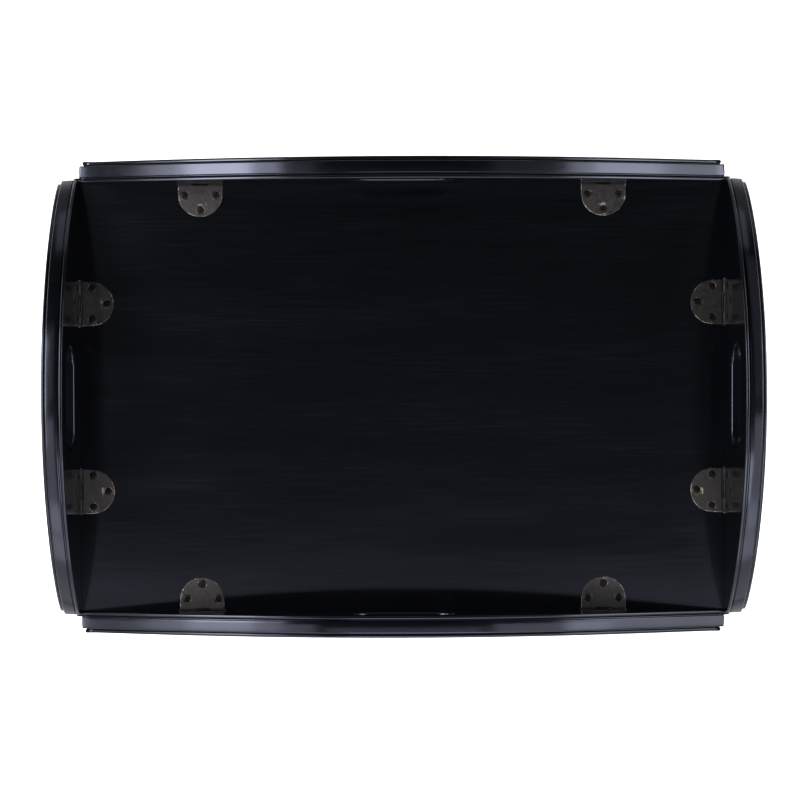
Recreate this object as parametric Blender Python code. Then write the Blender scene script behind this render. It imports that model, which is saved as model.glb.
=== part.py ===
"""Butler coffee table: a lacquered tray on a square-legged stand, with four hinged leaves.

The leaves stand up, as they do when the tray is carried. Each one folds out and down
until it lies level with the tray and makes the top an oval.
Metres, +Z up. The origin is on the floor under the middle of the tray, +X runs along
the tray and the front is at -Y.
"""
import math

import bmesh
import bpy
from mathutils import Matrix, Vector

# Tray and leaves
tray_length = 0.7315           # between the hinge axes of the left and right leaves
tray_width = 0.4876            # between the hinge axes of the front and back leaves
table_height = 0.457           # floor to tray top
board_thickness = 0.0240       # tray and leaves alike
axis_depth = 0.0015            # hinge axes below the top faces of tray and leaves
tray_edge_reach = 0.0005       # hinge axis in to the tray's edge
leaf_edge_reach = 0.0028       # hinge axis out to a leaf's straight edge
long_leaf_rise = 0.1100        # hinge axis to the rim's main band at mid leaf, front and back
short_leaf_rise = 0.1120       # the same for the left and right leaves
long_leaf_end_rise = 0.0046    # the same where the rim's arc meets the leaf's ends
short_leaf_end_rise = 0.0046
long_leaf_end_inset = 0.0020   # crossing of two hinge axes in to the leaf's end
short_leaf_end_inset = -0.0017  # below zero, so it runs past that crossing
long_arc_power_share = 1.14    # how fast the rim falls away towards the ends
short_arc_power_share = 0.82
long_leaf_lean = math.radians(4.9)  # front and back leaves, inward past upright
short_leaf_lean = math.radians(0.5)  # left and right leaves, inward past upright
upright = math.radians(90.0)
arc_steps = 32

# Rim moulding, from the inner face of a raised leaf to its outer face
bead_thickness = 0.0036
bead_proud = 0.0034            # beyond the main band
groove_width = 0.0021
groove_depth = 0.0013
band_width = 0.0134
quirk_width = 0.0017
quirk_depth = 0.0052
outer_band_depth = 0.0043
outer_band_round = 0.0008
rim_floor = 0.0008             # least height of a rim row above the leaf's straight edge
rim_floor_share = 0.2          # how much of its offset a row adds to that height
rim_point_gap = 0.0002         # least distance between two points of a row near its ends
mitre_clearance = 0.0004       # each leaf end to the diagonal that it shares with its neighbour
corner_reach = 0.0085          # bead and groove past the band's end, before the diagonals cut
corner_ease = 0.0004           # the groove's far side at the corner to the band's near side

# Hand holes
hand_hole_length = 0.1140
hand_hole_height = 0.0460
long_hand_hole_rise = 0.0630   # hinge axis to the middle of the hole, front and back
short_hand_hole_rise = 0.0630  # the same for the left and right leaves
hand_hole_ease = 0.0020

# Hinges
hinge_width = 0.0500
hinge_reach = 0.0396           # hinge axis to the tip of a plate
plate_thickness = 0.0020
barrel_radius = 0.0032
pin_radius = 0.0014
pin_head_radius = 0.0023
pin_head_length = 0.0008
middle_knuckle = 0.0184
knuckle_flat = 0.0006          # plate's face to the flat along the middle knuckle
spring_slot_reach = 0.0047     # hinge axis to the tray plate's edge beside the middle knuckle
running_gap = 0.0003
seat_gap = 0.0003
barrel_clearance = 0.0004
long_hinge_spacing = 0.4550    # between the two hinges of the front or back leaf
short_hinge_spacing = 0.2125   # between the two hinges of the left or right leaf

# Screws, all alike
screw_head_radius = 0.0042
screw_head_rise = 0.0003
screw_shank_radius = 0.0017
screw_length = 0.0150
screw_pair_spacing = 0.0352
screw_pair_reach = 0.0159      # hinge axis to the pair
screw_tip_reach = 0.0327       # hinge axis to the screw at the plate's tip
cross_length = 0.0046
cross_width = 0.0010
cross_depth = 0.0011

# Detent springs
spring_width = 0.0160
spring_thickness = 0.0008
spring_near_reach = 0.0036
spring_far_reach = 0.0270
spring_lift = 0.0007

# Stand
frame_inset = 0.0400           # hinge axes to the outer faces of the legs
leg_side = 0.0420
apron_height = 0.0600
apron_thickness = 0.0200
apron_setback = 0.0030
tenon_length = 0.0140
tenon_thickness = 0.0090
tenon_shoulder = 0.0080
stretcher_height = 0.0280
stretcher_thickness = 0.0200
stretcher_rise = 0.1100        # floor to the stretchers' middle
stretcher_tenon_length = 0.0100
edge_ease = 0.0015
block_reach = 0.0350
block_height = 0.0320
cleat_side = 0.0180
cleat_end_clearance = 0.0040
glide_radius = 0.0090
glide_height = 0.0040
glide_nail_radius = 0.0015
glide_nail_length = 0.0120

overrun = 0.0050               # how far a cutter passes the face that it opens
weld_distance = 0.000001       # points closer than this are one
plane_distance = 0.0000001     # points closer than this to a slicing plane lie on it

# Derived places
half_length = tray_length / 2
half_width = tray_width / 2
underside = table_height - board_thickness
leg_top = underside - seat_gap
leg_foot = glide_height + seat_gap
frame_half_length = half_length - frame_inset
frame_half_width = half_width - frame_inset
leg_x = frame_half_length - leg_side / 2
leg_y = frame_half_width - leg_side / 2
tip_radius = hinge_width / 2
socket_half_width = hinge_width / 2 + running_gap + pin_head_length + running_gap
to_axis = Matrix.Translation((0, 0, -axis_depth))


def clear_scene():
    for thing in list(bpy.data.objects):
        bpy.data.objects.remove(thing, do_unlink=True)


def material(name, colour, roughness, metallic, coat):
    made = bpy.data.materials.new(name)
    made.use_nodes = True
    shader = made.node_tree.nodes["Principled BSDF"]
    shader.inputs["Base Color"].default_value = (*colour, 1.0)
    shader.inputs["Roughness"].default_value = roughness
    shader.inputs["Metallic"].default_value = metallic
    shader.inputs["Coat Weight"].default_value = coat
    made.diffuse_color = (*colour, 1.0)
    made.roughness = roughness
    made.metallic = metallic
    return made


def finish(name, bm, smooth_angle=None):
    """Turn a bmesh into a mesh with outward faces."""
    bmesh.ops.remove_doubles(bm, verts=bm.verts, dist=weld_distance)
    bmesh.ops.recalc_face_normals(bm, faces=bm.faces)
    if bm.calc_volume(signed=True) < 0:
        bmesh.ops.reverse_faces(bm, faces=bm.faces)
    mesh = bpy.data.meshes.new(name)
    bm.to_mesh(mesh)
    bm.free()
    if smooth_angle is not None:
        mesh.shade_smooth()
        mesh.set_sharp_from_angle(angle=smooth_angle)
    return mesh


def place(name, mesh, look, matrix=None, parent=None):
    thing = bpy.data.objects.new(name, mesh)
    bpy.context.scene.collection.objects.link(thing)
    if look is not None:
        if not mesh.materials:
            mesh.materials.append(look)
    if parent is not None:
        thing.parent = parent
    if matrix is not None:
        thing.matrix_local = matrix
    return thing


def cutter(name, mesh, matrix=None, parent=None):
    thing = place(name, mesh, None, matrix, parent)
    thing.hide_render = True
    thing.display_type = "WIRE"
    return thing


def boolean(target, tool, operation="DIFFERENCE"):
    made = target.modifiers.new(operation.title() + " " + tool.name, "BOOLEAN")
    made.operation = operation
    made.solver = "EXACT"
    made.object = tool
    return made


def baked(thing, name):
    """The evaluated mesh of an object, as a mesh of its own that copies can share."""
    graph = bpy.context.evaluated_depsgraph_get()
    mesh = bpy.data.meshes.new_from_object(thing.evaluated_get(graph))
    mesh.name = name
    return mesh


def discard(things):
    for thing in things:
        bpy.data.objects.remove(thing, do_unlink=True)


def box_mesh(name, low, high):
    bm = bmesh.new()
    bmesh.ops.create_cube(bm, size=1.0)
    low, high = Vector(low), Vector(high)
    size, middle = high - low, (high + low) / 2
    for vert in bm.verts:
        vert.co = Vector(a * b for a, b in zip(vert.co, size)) + middle
    return finish(name, bm)


def cylinder_mesh(name, radius, start, end, axis, segments, tip=None, smooth=True):
    """A cylinder between two points of an axis; tip gives the far radius.

    It is turned by half a facet, so that no edge lies in a plane through its axis.
    """
    bm = bmesh.new()
    bmesh.ops.create_cone(bm, cap_ends=True, segments=segments, radius1=radius,
                          radius2=radius if tip is None else tip, depth=end - start,
                          matrix=Matrix.Translation((0, 0, (start + end) / 2))
                          @ Matrix.Rotation(math.pi / segments, 4, "Z"))
    if axis == "X":
        bmesh.ops.rotate(bm, verts=bm.verts, matrix=Matrix.Rotation(upright, 3, "Y"))
    return finish(name, bm, upright / 2 if smooth else None)


def loft(rings):
    """Extrude a flat face from ring to ring of points into one closed solid."""
    bm = bmesh.new()
    verts = [bm.verts.new(point) for point in rings[0]]
    face = first = bm.faces.new(verts)
    for ring in rings[1:]:
        index = {tuple(vert.co): i for i, vert in enumerate(verts)}
        last = face
        made = bmesh.ops.extrude_face_region(bm, geom=[last])["geom"]
        face = next(piece for piece in made if isinstance(piece, bmesh.types.BMFace))
        if last is not first and last.is_valid:
            bmesh.ops.delete(bm, geom=[last], context="FACES_ONLY")
        moved = {index[tuple(vert.co)]: vert for vert in face.verts}
        verts = [moved[i] for i in range(len(ring))]
        for vert, point in zip(verts, ring):
            vert.co = point
    return bm


def prism(name, outline, low, high, smooth_angle=None):
    """An outline in the XY plane, extruded from low to high."""
    return finish(name, loft([[(x, y, level) for x, y in outline] for level in (low, high)]),
                  smooth_angle)


# Rim and leaf

def rim_rows():
    """Depth below the leaf's top face, offset from the main band and reach of the feet.

    The bead and groove keep on to the corner, where the diagonals cut them.
    """
    bead = bead_thickness / 2
    rows = []
    for turn in (-90, -45, 0, 45, 90):
        angle = math.radians(turn)
        rows.append((bead + bead * math.sin(angle), bead_proud - bead + bead * math.cos(angle)))
    depth = bead_thickness
    rows.append((depth, -groove_depth))
    depth += groove_width
    rows.append((depth - corner_ease, -groove_depth))
    rows = [(level, offset, corner_reach) for level, offset in rows]
    rows.append((depth, -groove_depth, -groove_depth))
    rows.append((depth, 0, 0))
    depth += band_width
    rows.append((depth, 0, 0))
    rows.append((depth, -quirk_depth, -quirk_depth))
    depth += quirk_width
    rows.append((depth, -quirk_depth, -quirk_depth))
    low = -outer_band_depth
    rows.append((depth, low, low))
    rows.append((board_thickness - outer_band_round, low, low))
    low -= outer_band_round
    rows.append((board_thickness, low, low))
    return rows


def leaf_outline(end, mid_rise, end_rise, power_share, offset, reach):
    """Outline of a leaf in its own plane, moved out from the main band by offset.

    Its feet run reach past the ends, and it runs on past the straight edge, which
    leaf_mesh then cuts.
    """
    base = -overrun - offset
    lowest = leaf_edge_reach + rim_floor + rim_floor_share * (offset + quirk_depth)
    swell = mid_rise - end_rise
    points = [(-end - reach, base), (-end - reach, max(end_rise + offset, lowest))]
    for step in range(1, arc_steps):
        along = -math.cos(math.pi * step / arc_steps)
        fall = 1 - along * along
        rise = end_rise + swell * fall ** power_share
        slope = -swell * power_share * fall ** (power_share - 1) * 2 * along / end
        length = math.hypot(slope, 1)
        limit = end + offset - rim_point_gap * min(step, arc_steps - step)
        points.append((min(max(end * along - offset * slope / length, -limit), limit),
                       max(rise + offset / length, lowest)))
    points.append((end + reach, max(end_rise + offset, lowest)))
    points.append((end + reach, base))
    return points


def slice_off(bm, origin, normal):
    """Cut away what lies beyond a plane and close the cut."""
    cut = bmesh.ops.bisect_plane(bm, geom=bm.verts[:] + bm.edges[:] + bm.faces[:],
                                 dist=plane_distance, plane_co=origin, plane_no=normal,
                                 clear_outer=True)
    edges = [piece for piece in cut["geom_cut"] if isinstance(piece, bmesh.types.BMEdge)]
    bmesh.ops.holes_fill(bm, edges=edges, sides=0)


def leaf_mesh(name, half, arc, lean):
    inset, mid_rise, end_rise, power_share = arc
    bm = loft([[(x, y, -depth) for x, y in leaf_outline(half - inset, mid_rise, end_rise,
                                                        power_share, offset, reach)]
               for depth, offset, reach in rim_rows()])
    bmesh.ops.recalc_face_normals(bm, faces=bm.faces)
    slice_off(bm, Vector((0, leaf_edge_reach, 0)), Vector((0, -1, 0)))
    # Both ends are cut back to the diagonals that the leaf shares with its neighbours,
    # once for the flat pose and once for the raised pose.
    for side in (1, -1):
        origin = Vector((side * (half - mitre_clearance), 0, -axis_depth))
        slice_off(bm, origin, Vector((side, -1, 0)))
        slice_off(bm, origin, Vector((side, math.sin(lean), math.cos(lean))))
    return finish(name, bm, math.radians(35))


def hand_hole_mesh(rise):
    """A round-ended hole through the board, eased where it meets both faces."""
    def ring(grow, depth):
        radius = hand_hole_height / 2 + grow
        straight = (hand_hole_length - hand_hole_height) / 2
        points = []
        for side in (1, -1):
            for step in range(9):
                angle = upright * side - math.pi * step / 8
                points.append((side * straight + radius * math.cos(angle),
                               rise + radius * math.sin(angle), -depth))
        return points
    ease = hand_hole_ease
    return finish("hand_hole", loft([
        ring(ease + overrun, -overrun), ring(ease, 0), ring(0, ease),
        ring(0, board_thickness - ease), ring(ease, board_thickness),
        ring(ease + overrun, board_thickness + overrun)]), upright / 2)


# Hinges

def plate_outline(grow, near):
    """D-shaped plate between the distance near from the axis and the round tip."""
    centre = hinge_reach - tip_radius
    points = [(-tip_radius - grow, near)]
    for step in range(11):
        angle = math.pi - math.pi * step / 10
        points.append(((tip_radius + grow) * math.cos(angle),
                       centre + (tip_radius + grow) * math.sin(angle)))
    points.append((tip_radius + grow, near))
    return points


def screw_places():
    return ((-screw_pair_spacing / 2, screw_pair_reach), (screw_pair_spacing / 2, screw_pair_reach),
            (0, screw_tip_reach))


def flipped(mesh, name):
    """A copy turned half a turn about Z, for the tray's side of the hinge."""
    made = mesh.copy()
    made.name = name
    made.transform(Matrix.Rotation(math.pi, 4, "Z"))
    return made


def plate_mesh(name, on_leaf):
    """A hinge plate on the +Y side of its axis, with its knuckles and its three screws."""
    half = middle_knuckle / 2
    outer = hinge_width / 2
    near = barrel_radius + barrel_clearance
    if on_leaf:
        # The middle knuckle is this plate's, so its outline steps back at both outer ones.
        outline = plate_outline(0, near) + [(half, near), (half, 0), (-half, 0), (-half, near)]
        knuckles = ((-half, half),)
    else:
        inner = half + running_gap
        outline = plate_outline(0, 0) + [(inner, 0), (inner, spring_slot_reach),
                                         (-inner, spring_slot_reach), (-inner, 0)]
        knuckles = ((-outer, -inner), (inner, outer))
    work = place("plate_blank", prism("plate_blank", outline, -plate_thickness, 0), None)
    spare = [work]
    for low, high in knuckles:
        tube = cutter("knuckle", cylinder_mesh("knuckle", barrel_radius, low, high, "X", 12),
                      to_axis)
        boolean(work, tube, "UNION")
        spare.append(tube)
    if on_leaf:
        # The flat faces the slot beside the tray plate's edge while the leaf stands up.
        flat = cutter("flat", box_mesh("flat", (-half - overrun, -near - overrun, knuckle_flat),
                                       (half + overrun, near + overrun, near + overrun)))
        boolean(work, flat)
        spare.append(flat)
    for x, y in screw_places():
        at = Matrix.Translation((x, y, 0))
        parts = (cylinder_mesh("shank", screw_shank_radius, -screw_length, -plate_thickness / 2,
                               "Z", 6),
                 cylinder_mesh("head", screw_head_radius, -plate_thickness / 2, screw_head_rise,
                               "Z", 10, screw_head_radius - screw_head_rise))
        for mesh in parts:
            tool = cutter("screw", mesh, at)
            boolean(work, tool, "UNION")
            spare.append(tool)
        long, wide = cross_length / 2, cross_width / 2
        for across, up in ((long, wide), (wide, long)):
            tool = cutter("cross", box_mesh("cross", (-across, -up, -cross_depth),
                                            (across, up, overrun)), at)
            boolean(work, tool)
            spare.append(tool)
    bore = cutter("bore", cylinder_mesh("bore", pin_radius + running_gap, -outer - overrun,
                                        outer + overrun, "X", 8), to_axis)
    boolean(work, bore)
    spare.append(bore)
    made = baked(work, name)
    discard(spare)
    made.shade_smooth()
    made.set_sharp_from_angle(angle=math.radians(35))
    return made


def mortise_mesh(name, with_spring):
    """Everything that one plate needs cut out of its board, on the +Y side of the axis."""
    depth = plate_thickness + seat_gap
    work = place("mortise_blank",
                 prism("mortise_blank", plate_outline(seat_gap, -overrun), -depth, overrun), None)
    spare = [work]
    channel = cylinder_mesh("barrel", barrel_radius + barrel_clearance, -socket_half_width,
                            socket_half_width, "X", 14)
    channel.transform(to_axis)
    tools = [channel]
    for x, y in screw_places():
        hole = cylinder_mesh("hole", screw_shank_radius + seat_gap, -screw_length - seat_gap,
                             -depth / 2, "Z", 6)
        hole.transform(Matrix.Translation((x, y, 0)))
        tools.append(hole)
    if with_spring:
        wide = spring_width / 2 + seat_gap
        tools.append(box_mesh("pocket", (-wide, -overrun, -depth - spring_thickness - seat_gap),
                              (wide, spring_far_reach + seat_gap, -depth / 2)))
    for mesh in tools:
        tool = cutter("mortise_tool", mesh)
        boolean(work, tool, "UNION")
        spare.append(tool)
    made = baked(work, name)
    discard(spare)
    return made


def pin_mesh():
    """A hinge pin along X with a small head at each end, outside the knuckles."""
    seat = hinge_width / 2 + running_gap
    end = seat + pin_head_length
    sections = ((-end, pin_head_radius), (-seat, pin_head_radius), (-seat, pin_radius),
                (seat, pin_radius), (seat, pin_head_radius), (end, pin_head_radius))
    rings = []
    for x, radius in sections:
        rings.append([(x, radius * math.cos(2 * math.pi * i / 8),
                       radius * math.sin(2 * math.pi * i / 8)) for i in range(8)])
    return finish("hinge_pin", loft(rings), upright / 2)


def spring_mesh():
    """A flat detent spring under the tray plate, bent up towards the middle knuckle."""
    top = -plate_thickness - seat_gap
    low = top - spring_thickness
    bend = spring_slot_reach - running_gap
    side = [(spring_far_reach, low), (spring_far_reach, top), (bend, top),
            (spring_near_reach, top + spring_lift), (spring_near_reach, low + spring_lift),
            (bend, low)]
    half = spring_width / 2
    return finish("detent_spring", loft([[(x, -reach, level) for reach, level in side]
                                         for x in (-half, half)]))


# Stand

def tenoned_bar(name, length, depth, height, tenon, shoulder):
    """A rail along X and the tongue that makes its two tenons, centred on the origin."""
    shoulder_half, end_half = length / 2, length / 2 + tenon
    thick, tall = tenon_thickness / 2, height / 2 - shoulder
    rail = box_mesh(name, (-shoulder_half, -depth / 2, -height / 2),
                    (shoulder_half, depth / 2, height / 2))
    tongue = box_mesh(name + "_tongue", (-end_half, -thick, -tall), (end_half, thick, tall))
    return rail, tongue


clear_scene()

lacquer = material("black_lacquer", (0.012, 0.012, 0.013), 0.28, 0.0, 0.4)
antique_brass = material("antique_brass", (0.115, 0.085, 0.055), 0.42, 1.0, 0.0)
blued_steel = material("blued_steel", (0.05, 0.05, 0.055), 0.38, 1.0, 0.0)
bare_wood = material("secondary_wood", (0.28, 0.17, 0.09), 0.6, 0.0, 0.0)
nylon = material("glide_nylon", (0.035, 0.032, 0.03), 0.45, 0.0, 0.0)

# Each side's frame has X along the hinge axis, Y outward and Z up, with its origin above the
# axis at the level of the tray's top face.
sides = {}
long_arc = (long_leaf_end_inset, long_leaf_rise, long_leaf_end_rise, long_arc_power_share)
short_arc = (short_leaf_end_inset, short_leaf_rise, short_leaf_end_rise, short_arc_power_share)
long_leaf = (half_width, half_length, long_arc, long_leaf_lean, long_hand_hole_rise,
             long_hinge_spacing)
short_leaf = (half_length, half_width, short_arc, short_leaf_lean, short_hand_hole_rise,
              short_hinge_spacing)
for side_name, turn, sizes, ends in (("back", 0, long_leaf, ("left", "right")),
                                     ("front", 180, long_leaf, ("right", "left")),
                                     ("left", 90, short_leaf, ("front", "back")),
                                     ("right", -90, short_leaf, ("back", "front"))):
    reach, along, arc, lean, hole_rise, spacing = sizes
    frame = (Matrix.Rotation(math.radians(turn), 4, "Z")
             @ Matrix.Translation((0, reach, table_height)))
    axis = bpy.data.objects.new("axis_" + side_name, None)
    bpy.context.scene.collection.objects.link(axis)
    axis.matrix_world = frame
    pivot = bpy.data.objects.new("pivot_" + side_name, None)
    bpy.context.scene.collection.objects.link(pivot)
    pivot.parent = axis
    pivot.matrix_local = to_axis @ Matrix.Rotation(upright + lean, 4, "X") @ to_axis.inverted()
    hinges = [(end_name, Matrix.Translation((place_share * spacing / 2, 0, 0)))
              for end_name, place_share in zip(ends, (-1, 1))]
    sides[side_name] = (axis, pivot, along, arc, lean, hole_rise, hinges)

tray = place("tray_panel", box_mesh("tray_panel",
                                    (tray_edge_reach - half_length,
                                     tray_edge_reach - half_width, underside),
                                    (half_length - tray_edge_reach,
                                     half_width - tray_edge_reach, table_height)),
             lacquer)

leaf_plate = plate_mesh("leaf_plate", True)
tray_plate = flipped(plate_mesh("tray_plate_blank", False), "tray_plate")
leaf_mortise = mortise_mesh("leaf_mortise", False)
tray_mortise = flipped(mortise_mesh("tray_mortise_blank", True), "tray_mortise")
hinge_pin = pin_mesh()
detent_spring = spring_mesh()

for side_name, (axis, pivot, along, arc, lean, hole_rise, hinges) in sides.items():
    leaf = place("leaf_" + side_name, leaf_mesh("leaf_" + side_name, along, arc, lean), lacquer,
                 None, pivot)
    boolean(leaf, cutter("cut_hand_hole_" + side_name, hand_hole_mesh(hole_rise), None, pivot))
    for end_name, at in hinges:
        label = side_name + "_" + end_name
        boolean(leaf, cutter("cut_leaf_mortise_" + label, leaf_mortise, at, pivot))
        boolean(tray, cutter("cut_tray_mortise_" + label, tray_mortise, at, axis))
        place("leaf_plate_" + label, leaf_plate, antique_brass, at, pivot)
        place("tray_plate_" + label, tray_plate, antique_brass, at, axis)
        place("hinge_pin_" + label, hinge_pin, antique_brass, at @ to_axis, axis)
        place("detent_spring_" + label, detent_spring, blued_steel, at, axis)

# Legs, with a mortise for each rail end and a hole for the glide's nail
apron_level = leg_top - apron_height / 2
apron_span_x = 2 * (leg_x - leg_side / 2 - seat_gap)
apron_span_y = 2 * (leg_y - leg_side / 2 - seat_gap)
apron_x = frame_half_length - apron_setback - apron_thickness / 2
apron_y = frame_half_width - apron_setback - apron_thickness / 2


def rail(name, span, at, turn, height, thickness, tenon, shoulder, owners):
    """A tenoned rail, and its enlarged tongue cut out of the pieces that hold it."""
    body, tongue = tenoned_bar(name, span, thickness, height, tenon, shoulder)
    matrix = Matrix.Translation(at) @ Matrix.Rotation(turn, 4, "Z")
    piece = place(name, body, lacquer, matrix)
    ease = piece.modifiers.new("Eased edges", "BEVEL")
    ease.width = edge_ease
    ease.segments = 1
    boolean(piece, cutter(name + "_tenon", tongue, matrix), "UNION")
    socket_size = box_mesh(name + "_socket",
                           (-span / 2 - tenon - seat_gap, -tenon_thickness / 2 - seat_gap,
                            -height / 2 + shoulder - seat_gap),
                           (span / 2 + tenon + seat_gap, tenon_thickness / 2 + seat_gap,
                            height / 2 - shoulder + seat_gap))
    socket = cutter(name + "_mortise", socket_size, matrix)
    for owner in owners:
        boolean(owner, socket)
    return piece


legs = {}
leg_block = box_mesh("leg", (-leg_side / 2, -leg_side / 2, leg_foot),
                     (leg_side / 2, leg_side / 2, leg_top))
nail_hole = cylinder_mesh("nail_hole", glide_nail_radius + seat_gap, -overrun,
                          glide_height + glide_nail_length + seat_gap, "Z", 10)
glide_blank = cylinder_mesh("glide", glide_radius, 0, glide_height, "Z", 20)
glide_nail = cylinder_mesh("glide_nail", glide_nail_radius, glide_height / 2,
                           glide_height + glide_nail_length, "Z", 10)
corners = (("front_left", -1, -1), ("front_right", 1, -1), ("back_left", -1, 1),
           ("back_right", 1, 1))
for label, sx, sy in corners:
    at = Matrix.Translation((sx * leg_x, sy * leg_y, 0))
    leg = place("leg_" + label, leg_block, lacquer, at)
    ease = leg.modifiers.new("Eased edges", "BEVEL")
    ease.width = edge_ease
    ease.segments = 1
    boolean(leg, cutter("cut_nail_" + label, nail_hole, at))
    legs[label] = leg
    glide = place("glide_" + label, glide_blank, nylon, at)
    boolean(glide, cutter("nail_" + label, glide_nail, at), "UNION")

for label, y, owners in (("front", -apron_y, ("front_left", "front_right")),
                         ("back", apron_y, ("back_left", "back_right"))):
    rail("apron_" + label, apron_span_x, (0, y, apron_level), 0, apron_height, apron_thickness,
         tenon_length, tenon_shoulder, [legs[owner] for owner in owners])
stretcher_rails = {}
for label, sx, owners in (("left", -1, ("front_left", "back_left")),
                          ("right", 1, ("front_right", "back_right"))):
    rail("apron_" + label, apron_span_y, (sx * apron_x, 0, apron_level), upright, apron_height,
         apron_thickness, tenon_length, tenon_shoulder, [legs[owner] for owner in owners])
    stretcher_rails[label] = rail("stretcher_" + label, apron_span_y, (sx * leg_x, 0, stretcher_rise),
                                  upright, stretcher_height, stretcher_thickness,
                                  stretcher_tenon_length, tenon_shoulder / 2,
                                  [legs[owner] for owner in owners])
centre_span = 2 * (leg_x - stretcher_thickness / 2 - seat_gap)
rail("stretcher_centre", centre_span, (0, 0, stretcher_rise), 0, stretcher_height,
     stretcher_thickness, stretcher_tenon_length, tenon_shoulder / 2, stretcher_rails.values())

# Corner blocks fit round each leg's inner corner, against both aprons and the tray
leg_step = leg_side - apron_setback - apron_thickness
reach_out = leg_step + block_reach
block_outline = [(leg_step + seat_gap, seat_gap), (reach_out, seat_gap), (seat_gap, reach_out),
                 (seat_gap, leg_step + seat_gap), (leg_step + seat_gap, leg_step + seat_gap)]
block_mesh = prism("corner_block", block_outline, leg_top - block_height, leg_top)
inner_x = frame_half_length - apron_setback - apron_thickness
inner_y = frame_half_width - apron_setback - apron_thickness
block_turns = {"front_left": 0, "front_right": 90, "back_right": 180, "back_left": 270}
for label, sx, sy in corners:
    place("corner_block_" + label, block_mesh, bare_wood,
          Matrix.Translation((sx * inner_x, sy * inner_y, 0))
          @ Matrix.Rotation(math.radians(block_turns[label]), 4, "Z"))

# Cleats hold the tray to the side aprons
cleat_half = inner_y - reach_out - cleat_end_clearance
cleat_mesh = box_mesh("cleat", (-cleat_side / 2, -cleat_half, leg_top - cleat_side),
                      (cleat_side / 2, cleat_half, leg_top))
for label, sx in (("left", -1), ("right", 1)):
    place("cleat_" + label, cleat_mesh, bare_wood,
          Matrix.Translation((sx * (inner_x - seat_gap - cleat_side / 2), 0, 0)))
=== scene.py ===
"""Butler coffee table: finer boards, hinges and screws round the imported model."""
import math

import bmesh
import bpy
from mathutils import Matrix, Vector


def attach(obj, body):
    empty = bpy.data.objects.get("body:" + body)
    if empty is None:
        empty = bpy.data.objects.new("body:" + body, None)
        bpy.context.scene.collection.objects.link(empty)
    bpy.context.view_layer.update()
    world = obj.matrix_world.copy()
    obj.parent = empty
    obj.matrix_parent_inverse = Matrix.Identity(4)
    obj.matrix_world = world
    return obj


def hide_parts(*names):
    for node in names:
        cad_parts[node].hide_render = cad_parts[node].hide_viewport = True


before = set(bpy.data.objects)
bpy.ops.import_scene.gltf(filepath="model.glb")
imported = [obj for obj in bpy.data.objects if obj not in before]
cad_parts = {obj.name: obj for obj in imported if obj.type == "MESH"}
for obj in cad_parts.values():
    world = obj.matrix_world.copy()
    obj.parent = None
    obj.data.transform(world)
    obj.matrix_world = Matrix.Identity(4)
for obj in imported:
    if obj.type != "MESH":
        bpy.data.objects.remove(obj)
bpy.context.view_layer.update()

# Tray and leaves, in metres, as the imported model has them
tray_length = 0.7315
tray_width = 0.4876
table_height = 0.457
board_thickness = 0.0240
axis_depth = 0.0015
tray_edge_reach = 0.0005
leaf_edge_reach = 0.0028
upright = math.radians(90.0)
long_leaf_lean = math.radians(4.9)
short_leaf_lean = math.radians(0.5)
# End inset, rise at the middle, rise at the ends and how fast the arc falls
long_arc = (0.0020, 0.1100, 0.0046, 1.14)
short_arc = (-0.0017, 0.1120, 0.0046, 0.82)
arc_steps = 132

# Rim moulding
bead_thickness = 0.0036
bead_proud = 0.00338
bead_round = 0.0013
groove_width = 0.0021
groove_depth = 0.0013
groove_fall = 0.0009
band_width = 0.0134
band_crown = 0.0001
band_fall = 0.0007
band_round = 0.0013
quirk_width = 0.0014
quirk_depth = 0.0052
outer_band_depth = 0.0043
outer_band_round = 0.0021
arris_radius = 0.0004
rim_floor = 0.0008
rim_floor_share = 0.2
rim_point_gap = 0.00004
mitre_clearance = 0.00008
corner_reach = 0.0085
corner_ease = 0.0004

# Hand holes
hand_hole_length = 0.1140
hand_hole_height = 0.0460
long_hand_hole_rise = 0.0630
short_hand_hole_rise = 0.0630
hand_hole_ease = 0.0020

# Hinges and screws
hinge_width = 0.0500
hinge_reach = 0.0396
plate_thickness = 0.0020
plate_round = 0.0004
barrel_radius = 0.0032
pin_radius = 0.0014
pin_head_radius = 0.0023
pin_head_length = 0.0008
middle_knuckle = 0.0184
knuckle_flat = 0.0006
spring_slot_reach = 0.0047
running_gap = 0.0003
seat_gap = 0.0003
barrel_clearance = 0.0004
long_hinge_spacing = 0.4550
short_hinge_spacing = 0.2125
screw_head_radius = 0.0046
screw_head_rise = 0.0003
screw_shank_radius = 0.0017
screw_length = 0.0150
screw_point_length = 0.0035
countersink_gap = 0.0002
screw_pair_spacing = 0.0352
screw_pair_reach = 0.0159
screw_tip_reach = 0.0327
cross_length = 0.0046
cross_width = 0.0010
cross_depth = 0.0011
# Painted glint beside each tip screw: its offset towards the axis, its width and its height
tip_glint_offset = 0.0066
tip_glint_width = 0.0085
tip_glint_height = 0.0022
# Painted shade near the hinge axis, fading out from the first distance to the second
painted_shade_near = 0.0032
painted_shade_far = 0.0060
spring_width = 0.0160
spring_thickness = 0.0008
spring_far_reach = 0.0270

# Glides under the legs
glide_radius = 0.0090
glide_height = 0.0040
glide_round = 0.0012
leg_x = 0.30475
leg_y = 0.1828

overrun = 0.0050
weld_distance = 0.000001
plane_distance = 0.0000001
smooth_angle = math.radians(32.0)
board_flat_area = 0.0004
plate_flat_area = 0.00002
hole_steps = 24
ease_steps = 5
tip_steps = 40

tip_radius = hinge_width / 2
socket_half_width = hinge_width / 2 + running_gap + pin_head_length + running_gap
to_axis = Matrix.Translation((0, 0, -axis_depth))


# Shader groups and materials

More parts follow.
